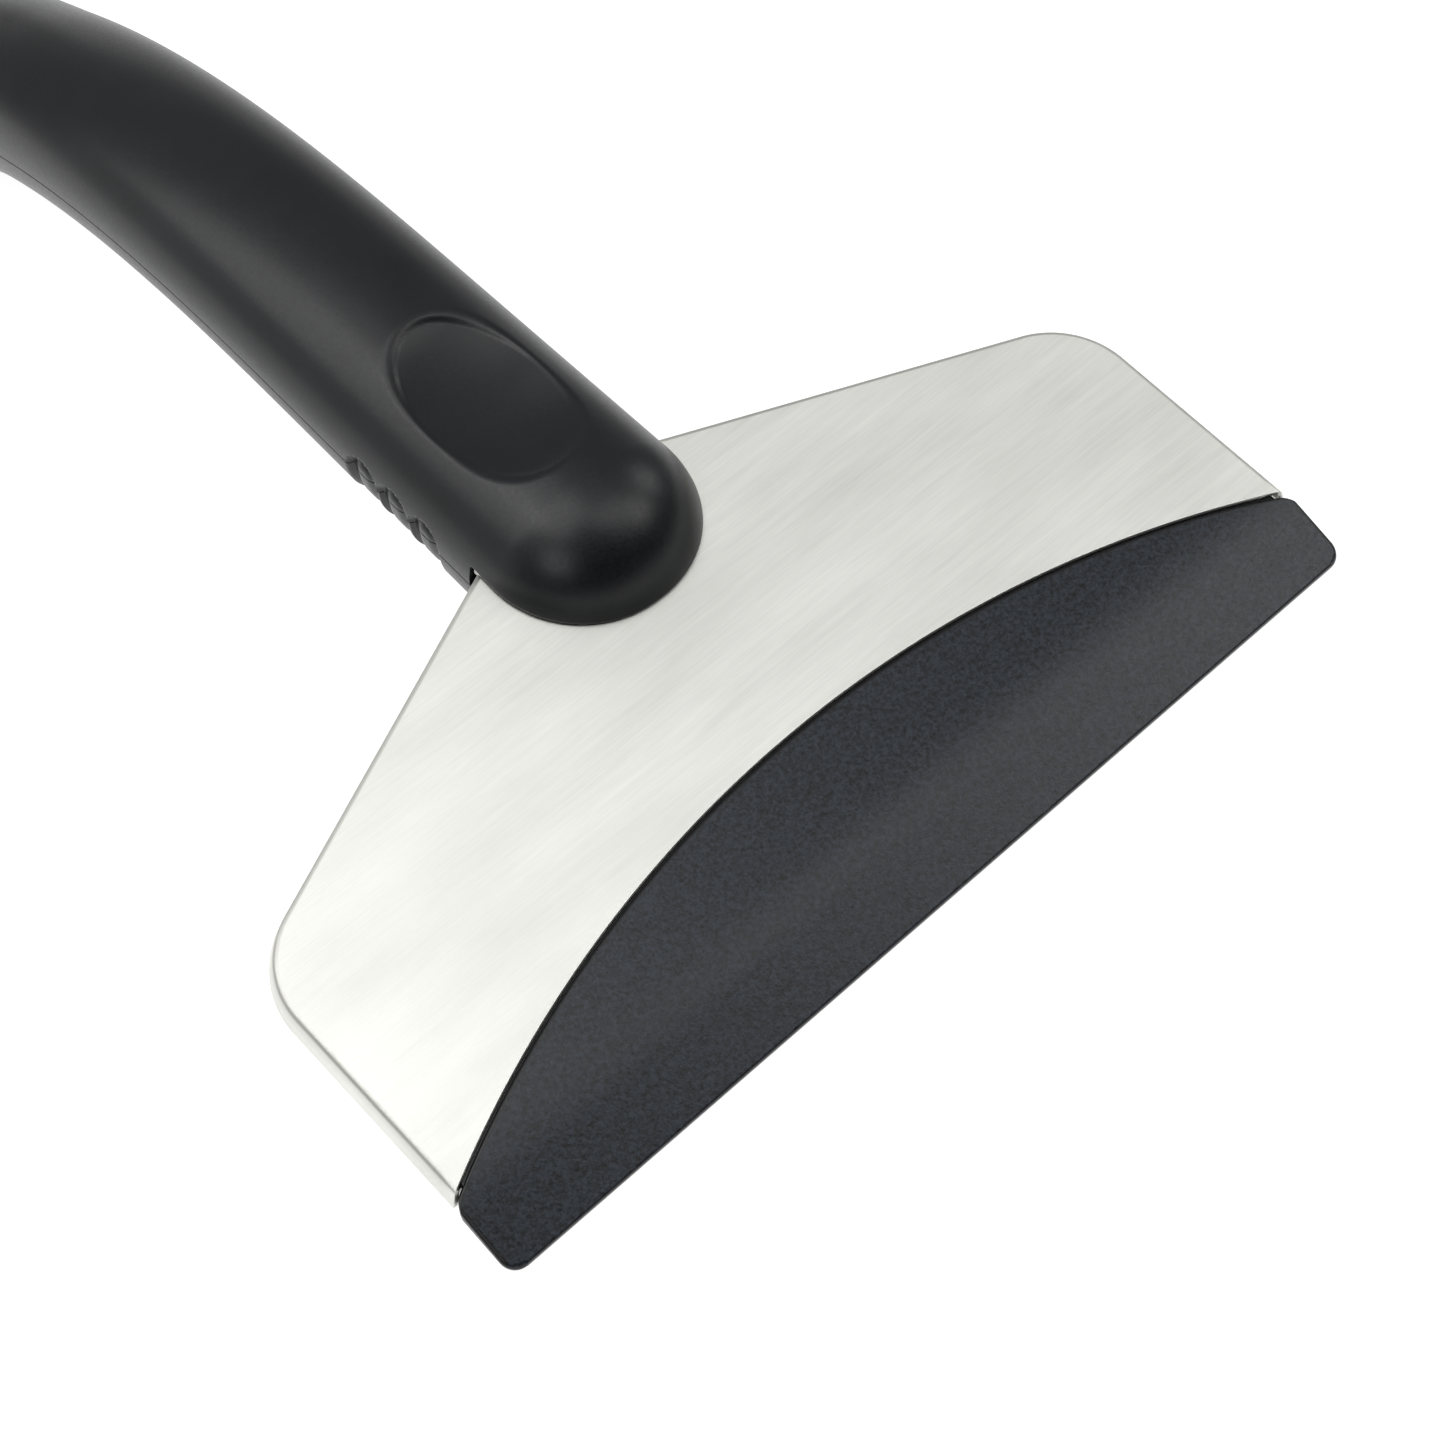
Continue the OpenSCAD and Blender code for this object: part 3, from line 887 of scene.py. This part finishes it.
def soften_lip(piece, height, direction):
    """Rounds the nose in where it meets the head: adds level loops near that height, and
    draws them in towards the nose's own middle."""
    bm = bmesh.new()
    bm.from_mesh(piece.data)
    levels = [height + direction * h for h in (0, 0.03, 0.09, 0.18, 0.3, LIP_R)]
    for z in levels:
        near = [f for f in bm.faces if f.calc_center_median().y < TANG_Y + 3]
        edges = list({e for f in near for e in f.edges})
        corners = list({v for f in near for v in f.verts})
        bmesh.ops.bisect_plane(bm, geom=near + edges + corners, dist=1e-5,
                               plane_co=(0, 0, z), plane_no=(0, 0, 1))
    for v in bm.verts:
        rise = (v.co.z - height) * direction
        if v.co.y > TANG_Y + 0.3 or rise < -0.3 or rise >= LIP_R:
            continue
        away = Vector((v.co.x, min(0, v.co.y - NOSE_Y)))
        if away.length < 9:
            continue
        draw = float(rounding(np.array(max(rise, 0)), LIP_R))
        away.normalize()
        v.co.x -= away.x * draw
        v.co.y -= away.y * draw
    bm.to_mesh(piece.data)
    bm.free()


def hang_bore():
    """The hang hole's cutter, with a rounded mouth at each face of the handle."""
    depth = float(half_width(HANG_S)) * SECTION_FLAT - 0.15
    side = [(HANG_R, 0)]
    for k in range(1, 9):
        t = math.pi / 2 * k / 8
        side.append((HANG_R + HANG_FLARE * (1 - math.cos(t)), depth - HANG_FLARE * (1 - math.sin(t))))
    side.append((side[-1][0], depth + 6))
    profile = [(r, -z) for r, z in reversed(side[1:])] + side
    closed = [(0, profile[0][1]), *profile, (0, profile[-1][1])]
    return lathe("hang_bore", closed, on_spine(HANG_S), 96)


def top_shell(material):
    """The upper shell, with blind bosses for the screws' points and a slot for the head."""
    piece = half_shell("handle_top", 0)
    soften_lip(piece, CLEAR, 1)
    bosses = [rod("boss", BOSS_R, 0, TANG_BOSS, at_y(y)) for y in TANG_SCREW_Y]
    bosses += [rod("boss", BOSS_R, 0, BUTT_BOSS, on_spine(BUTT_SCREW_S)),
               rod("boss", HANG_R + WALL, 0, HANG_BOSS[1], on_spine(HANG_S))]
    carve(piece, bosses, "UNION")
    cuts = [block("slot", (-FAR, -10, -FAR), (FAR, TANG_Y + 0.4, CLEAR))]
    cuts += [rod("pilot", PILOT_R, TANG_SEAT_Z, TANG_SEAT_Z + TANG_SCREW_L + 0.2, at_y(y))
             for y in TANG_SCREW_Y]
    cuts += [rod("pilot", PILOT_R, BUTT_SEAT_Z, BUTT_SEAT_Z + BUTT_SCREW_L + 0.2,
                 on_spine(BUTT_SCREW_S)), hang_bore()]
    carve(piece, cuts, "DIFFERENCE")
    finish_mesh(piece, 40, weighted=False)
    settle(piece, "handle_top_shell", material)


def counterbore(seat, place):
    """The cutter for a screw's head and shank, with a rounded mouth in the skin."""
    skin_z = seat - RECESS
    floor_z = seat + HEAD_H
    return lathe("counterbore", [(0, seat - 20), (BORE_R + 0.5, seat - 20), (BORE_R + 0.5, skin_z),
                                 (BORE_R + 0.15, skin_z + 0.25), (BORE_R, skin_z + 0.6),
                                 (BORE_R, floor_z), (PASS_R, floor_z), (PASS_R, seat + 20),
                                 (0, seat + 20)], place)


def bottom_shell(material):
    """The lower shell, with a counterbored boss for each screw and a slot for the head."""
    piece = half_shell("handle_bottom", math.pi)
    soften_lip(piece, -HEAD_DEPTH - CLEAR, -1)
    places = [(at_y(y), TANG_SEAT_Z, -HEAD_DEPTH) for y in TANG_SCREW_Y]
    places.append((on_spine(BUTT_SCREW_S), BUTT_SEAT_Z, 0))
    bosses = [rod("boss", HEAD_R + 1.6, seat - 1.8, top, place) for place, seat, top in places]
    bosses.append(rod("boss", HANG_R + WALL, HANG_BOSS[0], 0, on_spine(HANG_S)))
    carve(piece, bosses, "UNION")
    cuts = [block("slot", (-FAR, -10, -HEAD_DEPTH - CLEAR), (FAR, TANG_Y + 0.4, CLEAR + 5))]
    cuts += [counterbore(seat, place) for place, seat, top in places]
    cuts.append(hang_bore())
    carve(piece, cuts, "DIFFERENCE")
    finish_mesh(piece, 40, weighted=False)
    settle(piece, "handle_bottom_shell", material)


# ---------------------------------------------------------------- the screws

def threaded_shank(length, place):
    """The shank as one skin whose radius rises along a helix, pointed at its end."""
    heights = np.arange(HEAD_H - 0.2, length + THREAD_STEP / 2, THREAD_STEP)
    angle = np.linspace(0, 2 * math.pi, 40, endpoint=False)
    z = heights[:, None]
    phase = (z / THREAD_PITCH - angle / (2 * math.pi)) % 1
    crest = np.clip(1 - np.abs(phase - 0.5) / 0.32, 0, 1)
    point = np.clip((length - z) / POINT_L, 0.06, 1)
    under_head = ease((z - HEAD_H - 0.5) / 0.8)
    r = (SHANK_R - THREAD_DEPTH + THREAD_DEPTH * crest * under_head) * point ** 0.7
    rings = np.stack([r * np.cos(angle), r * np.sin(angle), np.broadcast_to(z, r.shape)], -1)
    return stacked("shank", heights[0], rings, heights[-1], place)


def screw(name, length, place):
    """A pan head screw, head down, with a cross recess."""
    turns = [math.pi / 2 * k / 10 for k in range(1, 11)]
    dome = [(HEAD_R * math.sin(t), HEAD_DOME - HEAD_DOME * math.cos(t)) for t in turns]
    rest = [(HEAD_R, HEAD_H - 0.1), (HEAD_R - 0.1, HEAD_H), (0, HEAD_H)]
    head = lathe(name, [(0, 0)] + dome + rest, place, 72)
    carve(head, [threaded_shank(length, place)], "UNION")
    for turn in (0, math.pi / 2):
        turned = place @ Matrix.Rotation(turn, 4, "Z")
        carve(head, [block("slot", (-1.55, -0.3, -1), (1.55, 0.3, 1.15), turned)], "DIFFERENCE")
    return head


def screws():
    """The two tang screws as one piece, and the butt screw."""
    zinc = zinc_plate()
    bm = bmesh.new()
    for y in TANG_SCREW_Y:
        one = screw("tang_screw", TANG_SCREW_L, Matrix.Translation((0, y, TANG_SEAT_Z)))
        bm.from_mesh(one.data)
        bpy.data.objects.remove(one)
    pair = from_bmesh("tang_screw_pair", bm)
    finish_mesh(pair, 32, weighted=False)
    settle(pair, "tang_screws", zinc)
    seat = on_spine(BUTT_SCREW_S) @ Matrix.Translation((0, 0, BUTT_SEAT_Z))
    last = screw("butt_screw_turned", BUTT_SCREW_L, seat)
    finish_mesh(last, 32, weighted=False)
    settle(last, "butt_screw", zinc)


def spacer():
    """The hidden spacer keeps its CAD mesh, with broken edges and its own material."""
    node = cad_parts["tang_spacer"]
    node.data.materials.clear()
    node.data.materials.append(spacer_plastic())
    edge = node.modifiers.new("broken edges", "BEVEL")
    edge.width = 0.15 * MM
    edge.segments = 2
    edge.angle_limit = math.radians(40)


# ---------------------------------------------------------------- the studio

def floor():
    """A plain pale table that glows faintly, as a lit photo table does."""
    low, high = CAD_BOX
    bm = bmesh.new()
    bmesh.ops.create_circle(bm, cap_ends=True, segments=96, radius=TABLE_R)
    table = from_bmesh("floor", bm)
    table.location = ((low.x + high.x) / 2, (low.y + high.y) / 2, low.z)
    material, _, shader = new_material("pale_table", (0.32, 0.32, 0.32), 0.6, level=0.1)
    shader.inputs["Emission Color"].default_value = (1, 1, 1, 1)
    shader.inputs["Emission Strength"].default_value = TABLE_GLOW
    table.data.materials.append(material)


def softbox(name, toward, size, glow):
    """A rectangular soft light in a direction from the head, with a given brightness."""
    target = HEAD @ Vector(HEAD_MIDDLE)
    lamp = bpy.data.lights.new(name, "AREA")
    lamp.shape = "RECTANGLE"
    lamp.size, lamp.size_y = size
    lamp.energy = glow * math.pi * size[0] * size[1]
    piece = bpy.data.objects.new(name, lamp)
    bpy.context.scene.collection.objects.link(piece)
    direction = Vector(toward).normalized()
    piece.location = target + direction * SOFTBOX_AWAY
    piece.rotation_euler = (-direction).to_track_quat("-Z", "Y").to_euler()


def dim_room():
    """The room's own light: a glow from above that fades towards the horizon and the front."""
    world = bpy.data.worlds.new("studio")
    world.use_nodes = True
    tree = world.node_tree
    where = tree.nodes.new("ShaderNodeTexCoord")
    parts = tree.nodes.new("ShaderNodeSeparateXYZ")
    tree.links.new(where.outputs["Generated"], parts.inputs["Vector"])
    front = ramp(tree, parts.outputs["Y"], 0.02, 1, -0.8, -0.1)
    above = ramp(tree, parts.outputs["Z"], 0.3, 1, 0.1, 0.8)
    glow = combine(tree, "MULTIPLY", combine(tree, "MULTIPLY", front, above), ROOM_GLOW)
    tree.links.new(glow, tree.nodes["Background"].inputs["Strength"])
    tree.nodes["Background"].inputs["Color"].default_value = (1, 1, 1, 1)
    bpy.context.scene.world = world


def lights():
    """The softboxes and the dim room round them."""
    for name, toward, size, glow in SOFTBOXES:
        softbox(name, toward, size, glow)
    dim_room()


def camera():
    """The camera, placed and turned in head coordinates."""
    data = bpy.data.cameras.new("camera")
    data.sensor_width = CAMERA_SENSOR
    data.lens = CAMERA_LENS
    data.clip_start = 0.01
    view = bpy.data.objects.new("camera", data)
    bpy.context.scene.collection.objects.link(view)
    place, aim = HEAD @ Vector(CAMERA_AT), HEAD @ Vector(CAMERA_AIM)
    look = (aim - place).to_track_quat("-Z", "Y").to_matrix().to_4x4()
    roll = Matrix.Rotation(math.radians(CAMERA_ROLL), 4, "Z")
    view.matrix_world = Matrix.Translation(place) @ look @ roll
    bpy.context.scene.camera = view


camera()
lights()
floor()
bpy.context.scene.view_settings.view_transform = "Standard"
steel_plates()
blade_insert()
satin = satin_plastic()
top_shell(satin)
bottom_shell(satin)
screws()
spacer()
